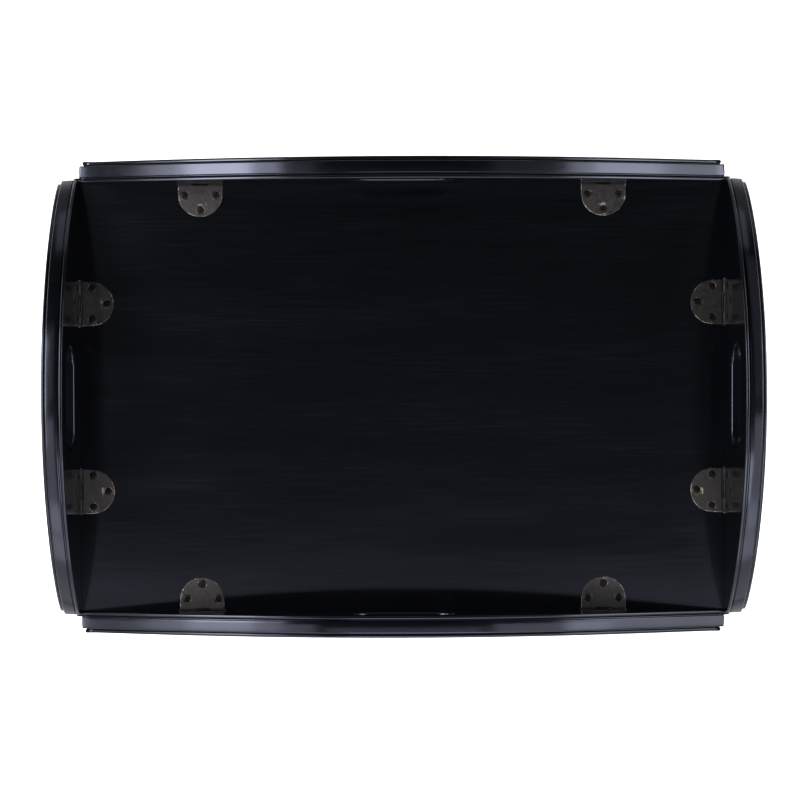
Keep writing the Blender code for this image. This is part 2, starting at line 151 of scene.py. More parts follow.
def new_group(name, inputs, outputs):
    group = bpy.data.node_groups.new(name, "ShaderNodeTree")
    for socket, kind, value in inputs:
        made = group.interface.new_socket(socket, in_out="INPUT", socket_type=kind)
        if value is not None:
            made.default_value = value
    for socket, kind in outputs:
        group.interface.new_socket(socket, in_out="OUTPUT", socket_type=kind)
    return group


def noise(tree, vector, scale, detail, roughness):
    node = tree.nodes.new("ShaderNodeTexNoise")
    node.inputs["Scale"].default_value = scale
    node.inputs["Detail"].default_value = detail
    node.inputs["Roughness"].default_value = roughness
    tree.links.new(vector, node.inputs["Vector"])
    return node.outputs["Fac"]


def stretch(tree, vector, scale):
    node = tree.nodes.new("ShaderNodeMapping")
    node.inputs["Scale"].default_value = scale
    tree.links.new(vector, node.inputs["Vector"])
    return node.outputs["Vector"]


def remap(tree, value, low, high, to_low, to_high):
    node = tree.nodes.new("ShaderNodeMapRange")
    for socket, number in (("From Min", low), ("From Max", high), ("To Min", to_low),
                           ("To Max", to_high)):
        if isinstance(number, (int, float)):
            node.inputs[socket].default_value = number
        else:
            tree.links.new(number, node.inputs[socket])
    tree.links.new(value, node.inputs["Value"])
    return node.outputs["Result"]


def combine(tree, operation, first, second):
    node = tree.nodes.new("ShaderNodeMath")
    node.operation = operation
    for socket, number in zip(node.inputs, (first, second)):
        if isinstance(number, (int, float)):
            socket.default_value = number
        else:
            tree.links.new(number, socket)
    return node.outputs["Value"]


def mix_colour(tree, factor, first, second):
    """Mix two colours. The node's colour sockets come after those for numbers and vectors."""
    first_socket, second_socket, result_socket = 6, 7, 2
    node = tree.nodes.new("ShaderNodeMix")
    node.data_type = "RGBA"
    tree.links.new(factor, node.inputs["Factor"])
    for socket, colour in ((first_socket, first), (second_socket, second)):
        if isinstance(colour, tuple):
            node.inputs[socket].default_value = colour
        else:
            tree.links.new(colour, node.inputs[socket])
    return node.outputs[result_socket]


def lacquer_group():
    """Black lacquer over planed wood: the grain shows through as faint lines along X."""
    group = new_group("lacquer_film",
                      (("Vector", "NodeSocketVector", None), ("Film", "NodeSocketColor", None),
                       ("Haze", "NodeSocketColor", None), ("Gloss", "NodeSocketFloat", 0.3)),
                      (("Color", "NodeSocketColor"), ("Roughness", "NodeSocketFloat"),
                       ("Height", "NodeSocketFloat")))
    given = group.nodes.new("NodeGroupInput").outputs
    result = group.nodes.new("NodeGroupOutput").inputs
    along = stretch(group, given["Vector"], (14.0, 420.0, 420.0))
    grain = noise(group, along, 1.0, 4.0, 0.6)
    broad = noise(group, stretch(group, given["Vector"], (3.0, 26.0, 26.0)), 1.0, 2.0, 0.5)
    peel = noise(group, given["Vector"], 650.0, 2.0, 0.5)
    dust = noise(group, given["Vector"], 2400.0, 1.0, 0.5)
    specks = remap(group, dust, 0.74, 0.80, 0.0, 1.0)
    haze = combine(group, "MULTIPLY", remap(group, grain, 0.42, 0.72, 0.0, 1.0),
                   remap(group, broad, 0.3, 0.7, 0.35, 1.0))
    tone = mix_colour(group, haze, given["Film"], given["Haze"])
    group.links.new(mix_colour(group, combine(group, "MULTIPLY", specks, 0.5), tone,
                               (0.010, 0.010, 0.012, 1.0)), result["Color"])
    rough = combine(group, "ADD", given["Gloss"],
                    remap(group, combine(group, "ADD", grain, broad), 0.6, 1.4, -0.03, 0.05))
    group.links.new(combine(group, "ADD", rough, combine(group, "MULTIPLY", specks, 0.2)),
                    result["Roughness"])
    group.links.new(combine(group, "ADD", combine(group, "MULTIPLY", grain, 0.6),
                            combine(group, "MULTIPLY", peel, 0.4)), result["Height"])
    return group


def bronze_group():
    """Sheet metal with a dark patina, rubbed through to tan in patches; inputs add painted glints
    and painted shade.
    """
    group = new_group("rubbed_patina",
                      (("Vector", "NodeSocketVector", None), ("Patina", "NodeSocketColor", None),
                       ("Bare", "NodeSocketColor", None), ("Rub", "NodeSocketFloat", 0.5),
                       ("Wear_and_glints", "NodeSocketFloat", 0.0), ("Painted_shade", "NodeSocketFloat", 0.0)),
                      (("Color", "NodeSocketColor"), ("Roughness", "NodeSocketFloat"),
                       ("Height", "NodeSocketFloat")))
    given = group.nodes.new("NodeGroupInput").outputs
    result = group.nodes.new("NodeGroupOutput").inputs
    blotch = noise(group, given["Vector"], 130.0, 4.0, 0.65)
    fine = noise(group, given["Vector"], 900.0, 3.0, 0.6)
    marks = noise(group, stretch(group, given["Vector"], (900.0, 190.0, 900.0)), 1.0, 2.0, 0.6)
    rubbed = combine(group, "ADD", combine(group, "MULTIPLY", blotch, 0.72),
                     combine(group, "MULTIPLY", fine, 0.28))
    edge = combine(group, "SUBTRACT", 0.78, combine(group, "MULTIPLY", given["Rub"], 0.3))
    # Rubbed edges and painted glints push the patina towards bare metal
    rubbed = combine(group, "ADD", rubbed, combine(group, "MULTIPLY", given["Wear_and_glints"], 0.24))
    bare = remap(group, rubbed, edge, combine(group, "ADD", edge, 0.14), 0.0, 1.0)
    cloud = mix_colour(group, remap(group, fine, 0.35, 0.65, 0.0, 1.0), given["Patina"],
                       (0.034, 0.030, 0.030, 1.0))
    tone = mix_colour(group, bare, cloud, given["Bare"])
    # Painted shade: darkens the metal towards near black
    group.links.new(mix_colour(group, given["Painted_shade"], tone, (0.016, 0.015, 0.016, 1.0)),
                    result["Color"])
    rough = remap(group, combine(group, "ADD", blotch, marks), 0.7, 1.3, 0.38, 0.60)
    group.links.new(combine(group, "SUBTRACT", rough, combine(group, "MULTIPLY", bare, 0.12)),
                    result["Roughness"])
    group.links.new(combine(group, "ADD", combine(group, "MULTIPLY", fine, 0.5),
                            combine(group, "MULTIPLY", marks, 0.5)), result["Height"])
    return group


def screw_places():
    return ((-screw_pair_spacing / 2, screw_pair_reach), (screw_pair_spacing / 2, screw_pair_reach),
            (0, screw_tip_reach))


def wear_glint_and_shade_group():
    """Where a hinge plate is lighter, for a rubbed edge and painted glints, and where it has
    painted shade, from its own plan.
    """
    group = new_group("plate_wear_glints_and_shade", (("Plan", "NodeSocketVector", None),),
                      (("Wear_and_glints", "NodeSocketFloat"), ("Painted_shade", "NodeSocketFloat")))
    given = group.nodes.new("NodeGroupInput").outputs
    result = group.nodes.new("NodeGroupOutput").inputs
    parts = group.nodes.new("ShaderNodeSeparateXYZ")
    group.links.new(given["Plan"], parts.inputs["Vector"])
    across, out = parts.outputs["X"], parts.outputs["Y"]

    def reach(centre_x, centre_y, width, height, beyond=False):
        place = group.nodes.new("ShaderNodeCombineXYZ")
        along = combine(group, "SUBTRACT", out, centre_y)
        if beyond:
            along = combine(group, "MAXIMUM", along, 0.0)
        group.links.new(combine(group, "DIVIDE", combine(group, "SUBTRACT", across, centre_x),
                                width), place.inputs["X"])
        group.links.new(combine(group, "DIVIDE", along, height), place.inputs["Y"])
        length = group.nodes.new("ShaderNodeVectorMath")
        length.operation = "LENGTH"
        group.links.new(place.outputs["Vector"], length.inputs[0])
        return length.outputs["Value"]

    # A lighter line along the round edge: partly a rubbed edge, partly a painted highlight
    rim = remap(group, reach(0.0, hinge_reach - tip_radius, tip_radius, tip_radius, True),
                0.95, 0.985, 0.0, 0.8)
    # A painted glint beside the tip screw, on the axis side
    tip_glint = remap(group, reach(0.0, screw_tip_reach - tip_glint_offset, tip_glint_width, tip_glint_height),
                  0.20, 1.20, 0.85, 0.0)
    wear_and_glints = combine(group, "MAXIMUM", rim, tip_glint)
    # A painted glint ring round each countersink
    for x, y in screw_places():
        ring = remap(group, reach(x, y, screw_head_radius, screw_head_radius),
                     1.08, 1.25, 0.75, 0.0)
        wear_and_glints = combine(group, "MAXIMUM", wear_and_glints, ring)
    group.links.new(wear_and_glints, result["Wear_and_glints"])
    # Painted shade near the axis, over the barrel and the plate next to it
    group.links.new(remap(group, out, painted_shade_near, painted_shade_far, 0.85, 0.0), result["Painted_shade"])
    return group


def wood_group():
    group = new_group("bare_wood",
                      (("Vector", "NodeSocketVector", None), ("Early", "NodeSocketColor", None),
                       ("Late", "NodeSocketColor", None)),
                      (("Color", "NodeSocketColor"), ("Roughness", "NodeSocketFloat"),
                       ("Height", "NodeSocketFloat")))
    given = group.nodes.new("NodeGroupInput").outputs
    result = group.nodes.new("NodeGroupOutput").inputs
    rings = noise(group, stretch(group, given["Vector"], (60.0, 3.0, 60.0)), 1.0, 3.0, 0.5)
    fibre = noise(group, stretch(group, given["Vector"], (900.0, 20.0, 900.0)), 1.0, 3.0, 0.6)
    mixed = combine(group, "ADD", combine(group, "MULTIPLY", rings, 0.6),
                    combine(group, "MULTIPLY", fibre, 0.4))
    group.links.new(mix_colour(group, remap(group, mixed, 0.38, 0.62, 0.0, 1.0), given["Early"],
                               given["Late"]), result["Color"])
    group.links.new(remap(group, fibre, 0.3, 0.7, 0.52, 0.68), result["Roughness"])
    group.links.new(fibre, result["Height"])
    return group


def group_material(name, group, values, bump, bump_distance, settings, turn=0.0):
    """A Principled material whose colour, roughness and bump come from a shader group."""
    material = bpy.data.materials.new(name)
    material.use_nodes = True
    tree = material.node_tree
    shader = tree.nodes["Principled BSDF"]
    place = tree.nodes.new("ShaderNodeTexCoord")
    mapping = tree.nodes.new("ShaderNodeMapping")
    mapping.inputs["Rotation"].default_value = (0.0, 0.0, turn)
    tree.links.new(place.outputs["Object"], mapping.inputs["Vector"])
    node = tree.nodes.new("ShaderNodeGroup")
    node.node_tree = group
    tree.links.new(mapping.outputs["Vector"], node.inputs["Vector"])
    for socket, value in values.items():
        node.inputs[socket].default_value = value
    tree.links.new(node.outputs["Color"], shader.inputs["Base Color"])
    tree.links.new(node.outputs["Roughness"], shader.inputs["Roughness"])
    relief = tree.nodes.new("ShaderNodeBump")
    relief.inputs["Strength"].default_value = bump
    relief.inputs["Distance"].default_value = bump_distance
    tree.links.new(node.outputs["Height"], relief.inputs["Height"])
    tree.links.new(relief.outputs["Normal"], shader.inputs["Normal"])
    for socket, value in settings.items():
        shader.inputs[socket].default_value = value
    return material


lacquer_film = lacquer_group()
rubbed_patina = bronze_group()
bare_wood = wood_group()
plate_wear_glints_and_shade = wear_glint_and_shade_group()

lacquer_values = {"Film": (0.0012, 0.0014, 0.0020, 1.0), "Haze": (0.0022, 0.0025, 0.0036, 1.0),
                  "Gloss": 0.15}
rim_values = dict(lacquer_values, Gloss=0.13)
metal = {"Metallic": 1.0}
lacquer_settings = {"IOR": 1.5, "Specular Tint": (0.72, 0.76, 1.0, 1.0)}
lacquer_along = group_material("black_lacquer_along_x", lacquer_film, lacquer_values, 0.12, 0.0002,
                               lacquer_settings)
lacquer_across = group_material("black_lacquer_along_y", lacquer_film, lacquer_values, 0.12,
                                0.0002, lacquer_settings, upright)
rim_along = group_material("rim_lacquer_along_x", lacquer_film, rim_values, 0.20, 0.0002,
                           lacquer_settings)
rim_across = group_material("rim_lacquer_along_y", lacquer_film, rim_values, 0.20, 0.0002,
                            lacquer_settings, upright)
bronze = group_material("antique_bronze", rubbed_patina,
                        {"Patina": (0.072, 0.070, 0.073, 1.0), "Bare": (0.60, 0.50, 0.38, 1.0),
                         "Rub": 0.34}, 0.35, 0.00012, metal)
# Painted glints and painted shade on the hinge plates, read from each plate's own plan
plan = bronze.node_tree.nodes.new("ShaderNodeAttribute")
plan.attribute_name = "plan"
wear_glints_and_shade = bronze.node_tree.nodes.new("ShaderNodeGroup")
wear_glints_and_shade.node_tree = plate_wear_glints_and_shade
patina = next(node for node in bronze.node_tree.nodes if "Rub" in node.inputs)
bronze.node_tree.links.new(plan.outputs["Vector"], wear_glints_and_shade.inputs["Plan"])
bronze.node_tree.links.new(wear_glints_and_shade.outputs["Wear_and_glints"], patina.inputs["Wear_and_glints"])
bronze.node_tree.links.new(wear_glints_and_shade.outputs["Painted_shade"], patina.inputs["Painted_shade"])
pin_metal = group_material("antique_pin", rubbed_patina,
                           {"Patina": (0.16, 0.14, 0.12, 1.0), "Bare": (0.5, 0.42, 0.3, 1.0),
                            "Rub": 0.6}, 0.25, 0.0001, metal)
screw_black = group_material("black_screw", rubbed_patina,
                             {"Patina": (0.006, 0.006, 0.009, 1.0),
                              "Bare": (0.14, 0.14, 0.15, 1.0), "Rub": 0.16}, 0.2, 0.0001,
                             metal)
spring_steel = group_material("blued_spring", rubbed_patina,
                              {"Patina": (0.035, 0.037, 0.045, 1.0),
                               "Bare": (0.14, 0.14, 0.15, 1.0), "Rub": 0.1}, 0.2, 0.0001,
                              metal)
block_wood = group_material("secondary_wood", bare_wood,
                            {"Early": (0.34, 0.22, 0.12, 1.0), "Late": (0.20, 0.115, 0.055, 1.0)},
                            0.3, 0.0002, {})
glide_nylon = group_material("glide_nylon", rubbed_patina,
                             {"Patina": (0.03, 0.03, 0.032, 1.0), "Bare": (0.05, 0.05, 0.05, 1.0),
                              "Rub": 0.0}, 0.2, 0.0001, {"Metallic": 0.0})


# Mesh helpers

def loft(rings):
    """Extrude a flat face from ring to ring of points into one closed solid."""
    bm = bmesh.new()
    verts = [bm.verts.new(point) for point in rings[0]]
    face = first = bm.faces.new(verts)
    for ring in rings[1:]:
        index = {tuple(vert.co): i for i, vert in enumerate(verts)}
        last = face
        made = bmesh.ops.extrude_face_region(bm, geom=[last])["geom"]
        face = next(piece for piece in made if isinstance(piece, bmesh.types.BMFace))
        if last is not first and last.is_valid:
            bmesh.ops.delete(bm, geom=[last], context="FACES_ONLY")
        moved = {index[tuple(vert.co)]: vert for vert in face.verts}
        verts = [moved[i] for i in range(len(ring))]
        for vert, point in zip(verts, ring):
            vert.co = point
    return bm


def outward(bm):
    bmesh.ops.remove_doubles(bm, verts=bm.verts, dist=weld_distance)
    bmesh.ops.recalc_face_normals(bm, faces=bm.faces)
    if bm.calc_volume(signed=True) < 0:
        bmesh.ops.reverse_faces(bm, faces=bm.faces)
    return bm


def slice_off(bm, origin, normal):
    """Cut away what lies beyond a plane and close the cut."""
    cut = bmesh.ops.bisect_plane(bm, geom=bm.verts[:] + bm.edges[:] + bm.faces[:],
                                 dist=plane_distance, plane_co=origin, plane_no=normal,
                                 clear_outer=True)
    edges = [piece for piece in cut["geom_cut"] if isinstance(piece, bmesh.types.BMEdge)]
    bmesh.ops.holes_fill(bm, edges=edges, sides=0)


def to_mesh(name, bm):
    mesh = bpy.data.meshes.new(name)
    outward(bm).to_mesh(mesh)
    bm.free()
    return mesh


def cylinder(radius, start, end, axis, segments, far_radius=None):
    bm = bmesh.new()
    bmesh.ops.create_cone(bm, cap_ends=True, segments=segments, radius1=radius,
                          radius2=radius if far_radius is None else far_radius, depth=end - start,
                          matrix=Matrix.Translation((0, 0, (start + end) / 2))
                          @ Matrix.Rotation(math.pi / segments, 4, "Z"))
    if axis == "X":
        bmesh.ops.rotate(bm, verts=bm.verts, matrix=Matrix.Rotation(upright, 3, "Y"))
    return bm


def block(low, high):
    bm = bmesh.new()
    bmesh.ops.create_cube(bm, size=1.0)
    low, high = Vector(low), Vector(high)
    bmesh.ops.scale(bm, verts=bm.verts, vec=high - low)
    bmesh.ops.translate(bm, verts=bm.verts, vec=(high + low) / 2)
    return bm


def turned(points, axis, steps):
    """Spin an open outline a full turn about an axis through the origin."""
    bm = bmesh.new()
    verts = [bm.verts.new(point) for point in points]
    edges = [bm.edges.new(pair) for pair in zip(verts, verts[1:])]
    bmesh.ops.spin(bm, geom=verts + edges, cent=(0, 0, 0), axis=axis, angle=math.tau,
                   steps=steps, use_merge=True, use_duplicate=False)
    return bm


def placed(name, data):
    """A new object of this mesh, lamp or camera, linked to the scene."""
    thing = bpy.data.objects.new(name, data)
    bpy.context.scene.collection.objects.link(thing)
    return thing


def carve(name, base, tools):
    """Apply a chain of Booleans to a mesh: tools is a list of (mesh, operation) pairs."""
    work = placed(name, base)
    spare = [work]
    for mesh, operation in tools:
        tool = placed(name + "_tool", mesh)
        spare.append(tool)
        step = work.modifiers.new(operation, "BOOLEAN")
        step.operation = operation
        step.solver = "EXACT"
        step.object = tool
    graph = bpy.context.evaluated_depsgraph_get()
    made = bpy.data.meshes.new_from_object(work.evaluated_get(graph))
    made.name = name
    for thing in spare:
        bpy.data.objects.remove(thing, do_unlink=True)
    return made


def transformed(mesh, matrix):
    made = mesh.copy()
    made.transform(matrix)
    return made


def shade(mesh, flat_area=None):
    """Smooth shading with sharp creases, and flat faces wherever a face is large."""
    mesh.shade_smooth()
    mesh.set_sharp_from_angle(angle=smooth_angle)
    if flat_area is not None:
        for face in mesh.polygons:
            if face.area > flat_area:
                face.use_smooth = False


def piece(name, mesh, material, body, slot, *replaced):
    """A finished piece on its body, with the nodes that it stands in for."""
    mesh.name = name
    mesh.materials.clear()
    mesh.materials.append(material)
    thing = placed(name, mesh)
    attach(thing, body)
    if replaced:
        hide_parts(*replaced)


def rounded(corners, radius, steps):
    """Replace each inner corner of an open polyline by a small arc."""
    points = [corners[0]]
    for before, corner, after in zip(corners, corners[1:], corners[2:]):
        middle = Vector(corner)
        into, out = Vector(before) - middle, Vector(after) - middle
        reach = min(radius / math.tan(into.angle(out) / 2), into.length * 0.45,
                    out.length * 0.45)
        first, last = middle + into.normalized() * reach, middle + out.normalized() * reach
        for step in range(steps + 1):
            share = step / steps
            points.append(tuple(first * (1 - share) ** 2 + middle * 2 * share * (1 - share)
                                + last * share ** 2))
    points.append(corners[-1])
    return points


# Leaves

def quarter(depth, offset, radius, start):
    """Six steps of a quarter round about a centre, from start degrees."""
    angles = [math.radians(start + 15 * step) for step in range(7)]
    return [(depth + radius * math.sin(angle), offset + radius * math.cos(angle))
            for angle in angles]


def rim_profile():
    """Depth below the top face, offset from the main band and reach of the feet.

    The bead and groove keep on to the corner, where the diagonals cut them.
    """
    inner = (quarter(bead_round, bead_proud - bead_round, bead_round, -90)
             + quarter(bead_thickness - bead_round, bead_proud - bead_round, bead_round, 0)
             + [(bead_thickness, -groove_depth - groove_fall)])
    depth = bead_thickness + groove_width
    inner.append((depth - corner_ease, -groove_depth))
    outer = [(depth, -groove_depth)]
    outer += quarter(depth + band_round, -band_round, band_round, -90)[1:]
    outer.append((depth + band_width / 2, band_crown - band_fall / 2))
    depth += band_width
    outer += quarter(depth - band_round, -band_fall - band_round, band_round, 0)
    outer.append((depth, -quirk_depth - groove_fall / 2))
    depth += quirk_width
    low = -outer_band_depth
    outer += quarter(depth + arris_radius, low - arris_radius, arris_radius, -90)
    outer += quarter(board_thickness - outer_band_round, low - outer_band_round,
                     outer_band_round, 0)
    return ([(level, offset, corner_reach) for level, offset in inner]
            + [(level, offset, offset) for level, offset in outer])


def leaf_outline(half, arc, offset, reach):
    """Outline of a leaf in its own plane, moved out by offset, with feet that run reach out."""
    inset, mid_rise, end_rise, power_share = arc
    end = half - inset
    base = -overrun - offset
    lowest = leaf_edge_reach + rim_floor + rim_floor_share * (offset + quirk_depth)
    swell = mid_rise - end_rise
    points = [(-end - reach, base), (-end - reach, max(end_rise + offset, lowest))]
    for step in range(1, arc_steps):
        along = -math.cos(math.pi * step / arc_steps)
        fall = 1 - along * along
        rise = end_rise + swell * fall ** power_share
        slope = -swell * power_share * fall ** (power_share - 1) * 2 * along / end
        length = math.hypot(slope, 1)
        limit = end + offset - rim_point_gap * min(step, arc_steps - step)
        points.append((min(max(end * along - offset * slope / length, -limit), limit),
                       max(rise + offset / length, lowest)))
    points.append((end + reach, max(end_rise + offset, lowest)))
    points.append((end + reach, base))
    return points


def hand_hole(rise):
    """The cutter for an oblong hole through a leaf, with eased rims on both faces."""
    def ring(grow, depth):
        radius = hand_hole_height / 2 + grow
        straight = (hand_hole_length - hand_hole_height) / 2
        points = []
        for side in (1, -1):
            for step in range(hole_steps + 1):
                angle = upright * side - math.pi * step / hole_steps
                points.append((side * straight + radius * math.cos(angle),
                               rise + radius * math.sin(angle), -depth))
        return points

    ease = hand_hole_ease
    rings = [ring(ease + overrun, -overrun)]
    for step in range(ease_steps + 1):
        angle = upright * step / ease_steps
        rings.append(ring(ease * (1 - math.sin(angle)), ease * (1 - math.cos(angle))))
    for step in range(ease_steps + 1):
        angle = upright * (1 - step / ease_steps)
        rings.append(ring(ease * (1 - math.sin(angle)),
                          board_thickness - ease * (1 - math.cos(angle))))
    rings.append(ring(ease + overrun, board_thickness + overrun))
    return to_mesh("hand_hole", loft(rings))


def plate_outline(grow, near):
    """A hinge plate's outline, square at near and round at its far end."""
    centre = hinge_reach - tip_radius
    points = [(-tip_radius - grow, near)]
    for step in range(tip_steps + 1):
        angle = math.pi - math.pi * step / tip_steps
        points.append(((tip_radius + grow) * math.cos(angle),
                       centre + (tip_radius + grow) * math.sin(angle)))
    points.append((tip_radius + grow, near))
    return points


def mortise_tools(offset, on_tray):
    """Cutters for one hinge plate's mortise, barrel channel and, on the tray, spring pocket."""
    depth = plate_thickness + seat_gap
    turn = Matrix.Rotation(math.pi, 4, "Z") if on_tray else Matrix.Identity(4)
    place = Matrix.Translation((offset, 0, 0)) @ turn
    outline = plate_outline(seat_gap, -overrun)
    channel = cylinder(barrel_radius + barrel_clearance, -socket_half_width, socket_half_width,
                       "X", 32)
    bmesh.ops.transform(channel, matrix=to_axis, verts=channel.verts)
    solids = [loft([[(x, y, level) for x, y in outline] for level in (-depth, overrun)]), channel]
    if on_tray:
        wide = spring_width / 2 + seat_gap
        solids.append(block((-wide, -overrun, -depth - spring_thickness - seat_gap),
                            (wide, spring_far_reach + seat_gap, -depth / 2)))
    return [(transformed(to_mesh("mortise", bm), place), "DIFFERENCE") for bm in solids]


def leaf_mesh(name, half, arc, lean, hole_rise, spacing):
    bm = loft([[(x, y, -depth) for x, y in leaf_outline(half, arc, offset, reach)]
               for depth, offset, reach in rim_profile()])
    outward(bm)
    slice_off(bm, Vector((0, leaf_edge_reach, 0)), Vector((0, -1, 0)))
    for side in (1, -1):
        origin = Vector((side * (half - mitre_clearance), 0, -axis_depth))
        slice_off(bm, origin, Vector((side, -1, 0)))
        slice_off(bm, origin, Vector((side, math.sin(lean), math.cos(lean))))
    tools = [(hand_hole(hole_rise), "DIFFERENCE")]
    for share in (-1, 1):
        tools += mortise_tools(share * spacing / 2, False)
    made = carve(name, to_mesh(name, bm), tools)
    shade(made, board_flat_area)
    return made


# Hinges

def plate_mesh(on_leaf):
    """A hinge plate on the +Y side of its axis, with its knuckles and countersinks."""
    half = middle_knuckle / 2
    outer = hinge_width / 2
    near = barrel_radius + barrel_clearance
    rings = []
    for level, grow in ((-plate_thickness, 0), (-plate_round, 0),
                        (-plate_round * 0.3, -plate_round * 0.3), (0, -plate_round)):
        if on_leaf:
            outline = plate_outline(grow, near) + [(half, near), (half, 0), (-half, 0),
                                                   (-half, near)]
        else:
            inner = half + running_gap
            outline = plate_outline(grow, 0) + [(inner, 0), (inner, spring_slot_reach),
                                                (-inner, spring_slot_reach), (-inner, 0)]
        rings.append([(x, y, level) for x, y in outline])
    base = to_mesh("plate", loft(rings))
    if on_leaf:
        knuckles = ((-half, half),)
    else:
        knuckles = ((-outer, -half - running_gap), (half + running_gap, outer))
    tools = []
    for low, high in knuckles:
        tube = cylinder(barrel_radius, low, high, "X", 40)
        rims = [edge for edge in tube.edges
                if abs(edge.verts[0].co.x - edge.verts[1].co.x) < weld_distance]
        bmesh.ops.bevel(tube, geom=rims, offset=plate_round, segments=2, profile=0.5,
                        affect="EDGES", material=-1)
        tools.append((transformed(to_mesh("knuckle", tube), to_axis), "UNION"))
    if on_leaf:
        tools.append((to_mesh("flat", block((-half - overrun, -near - overrun, knuckle_flat),
                                            (half + overrun, near + overrun, near + overrun))),
                      "DIFFERENCE"))
    tools.append((transformed(to_mesh("bore", cylinder(pin_radius + running_gap, -outer - overrun,
                                                       outer + overrun, "X", 24)), to_axis),
                  "DIFFERENCE"))
    for x, y in screw_places():
        sink = cylinder(screw_shank_radius, -plate_thickness - overrun / 5, screw_head_rise, "Z",
                        32, screw_head_radius + countersink_gap + screw_head_rise)
        bmesh.ops.translate(sink, verts=sink.verts, vec=(x, y, 0))
        tools.append((to_mesh("countersink", sink), "DIFFERENCE"))
    made = carve("plate", base, tools)
    shade(made, plate_flat_area)
    plan_values = made.attributes.new("plan", "FLOAT_VECTOR", "POINT")
    for vertex, value in zip(made.vertices, plan_values.data):
        value.vector = vertex.co
    return made


def screw_mesh():
    """A countersunk cross-head wood screw with its head's rim at the plate's face."""
    rise = screw_head_rise
    profile = [(0, rise * 1.9), (screw_head_radius * 0.45, rise * 1.7),
               (screw_head_radius * 0.8, rise * 1.1), (screw_head_radius * 0.96, rise * 0.5),
               (screw_head_radius, 0), (screw_head_radius * 0.97, -rise),
               (screw_shank_radius, -plate_thickness * 1.15),
               (screw_shank_radius, -screw_length + screw_point_length), (0, -screw_length)]
    bm = turned([(radius, 0, level) for radius, level in profile], (0, 0, 1), 28)
    wings = []
    half, wide = cross_length / 2, cross_width / 2
    for level, share in ((rise * 3, 1.12), (0, 1.0), (-cross_depth, 0.5)):
        h, w = half * share, wide * (0.6 + 0.4 * share)
        wings.append([(x, y, level) for x, y in (
            (h, -w), (h, w), (w, w), (w, h), (-w, h), (-w, w), (-h, w), (-h, -w), (-w, -w),
            (-w, -h), (w, -h), (w, -w))])
    made = carve("screw", to_mesh("screw", bm), [(to_mesh("cross", loft(wings)), "DIFFERENCE")])
    shade(made)
    return made


def pin_mesh():
    """A hinge pin along X, with a small domed head at each end."""
    seat = hinge_width / 2 + running_gap
    end = seat + pin_head_length
    profile = [(-end, 0), (-end, pin_head_radius * 0.5),
               (-end + pin_head_length * 0.35, pin_head_radius * 0.9),
               (-end + pin_head_length * 0.7, pin_head_radius), (-seat, pin_head_radius * 0.96),
               (-seat, pin_radius)]
    profile += [(-x, radius) for x, radius in reversed(profile)]
    bm = turned([(x, radius, 0) for x, radius in profile], (1, 0, 0), 24)
    made = transformed(to_mesh("pin", bm), to_axis)
    shade(made)
    return made


def joined(meshes):
    bm = bmesh.new()
    for mesh in meshes:
        bm.from_mesh(mesh)
    made = bpy.data.meshes.new("joined")
    bm.to_mesh(made)
    bm.free()
    return made


flip = Matrix.Rotation(math.pi, 4, "Z")
leaf_plate = plate_mesh(True)
tray_plate = transformed(plate_mesh(False), flip)
one_screw = screw_mesh()
screw_turns = (0.35, -0.6, 1.1)
leaf_screws = joined([transformed(one_screw, Matrix.Translation((x, y, 0))
                                  @ Matrix.Rotation(turn, 4, "Z"))
                      for (x, y), turn in zip(screw_places(), screw_turns)])
shade(leaf_screws)
tray_screws = transformed(leaf_screws, flip)
hinge_pin = pin_mesh()

long_leaf = leaf_mesh("long_leaf", tray_length / 2, long_arc, long_leaf_lean,
                      long_hand_hole_rise, long_hinge_spacing)
short_leaf = leaf_mesh("short_leaf", tray_width / 2, short_arc, short_leaf_lean,
                       short_hand_hole_rise, short_hinge_spacing)

tray_tools = []
for side_name, turn, reach, leaf, lean, spacing, ends, look in (
        ("back", 0, tray_width / 2, long_leaf, long_leaf_lean, long_hinge_spacing,
         ("left", "right"), rim_along),
        ("front", 180, tray_width / 2, long_leaf, long_leaf_lean, long_hinge_spacing,
         ("right", "left"), rim_along),
        ("left", 90, tray_length / 2, short_leaf, short_leaf_lean, short_hinge_spacing,
         ("front", "back"), rim_across),
        ("right", -90, tray_length / 2, short_leaf, short_leaf_lean, short_hinge_spacing,
         ("back", "front"), rim_across)):
    side = (Matrix.Rotation(math.radians(turn), 4, "Z")
            @ Matrix.Translation((0, reach, table_height)))
    raised = side @ to_axis @ Matrix.Rotation(upright + lean, 4, "X") @ to_axis.inverted()
    body = side_name + "_leaf"
    piece("leaf_board_" + side_name, transformed(leaf, raised), look, body, "black_lacquer",
          "leaf_" + side_name)
    for end, share in zip(ends, (-1, 1)):
        label = side_name + "_" + end
        at = Matrix.Translation((share * spacing / 2, 0, 0))
        piece("hinge_leaf_plate_" + label, transformed(leaf_plate, raised @ at), bronze, body,
              "antique_brass", "leaf_plate_" + label)
        piece("hinge_leaf_screws_" + label, transformed(leaf_screws, raised @ at), screw_black,
              body, "antique_brass")
        piece("hinge_tray_plate_" + label, transformed(tray_plate, side @ at), bronze, "table",
              "antique_brass", "tray_plate_" + label)
        piece("hinge_tray_screws_" + label, transformed(tray_screws, side @ at), screw_black,
              "table", "antique_brass")
        piece("hinge_pin_fine_" + label, transformed(hinge_pin, side @ at), pin_metal, "table",
              "antique_brass", "hinge_pin_" + label)
        for mesh, operation in mortise_tools(share * spacing / 2, True):
            tray_tools.append((transformed(mesh, side), operation))

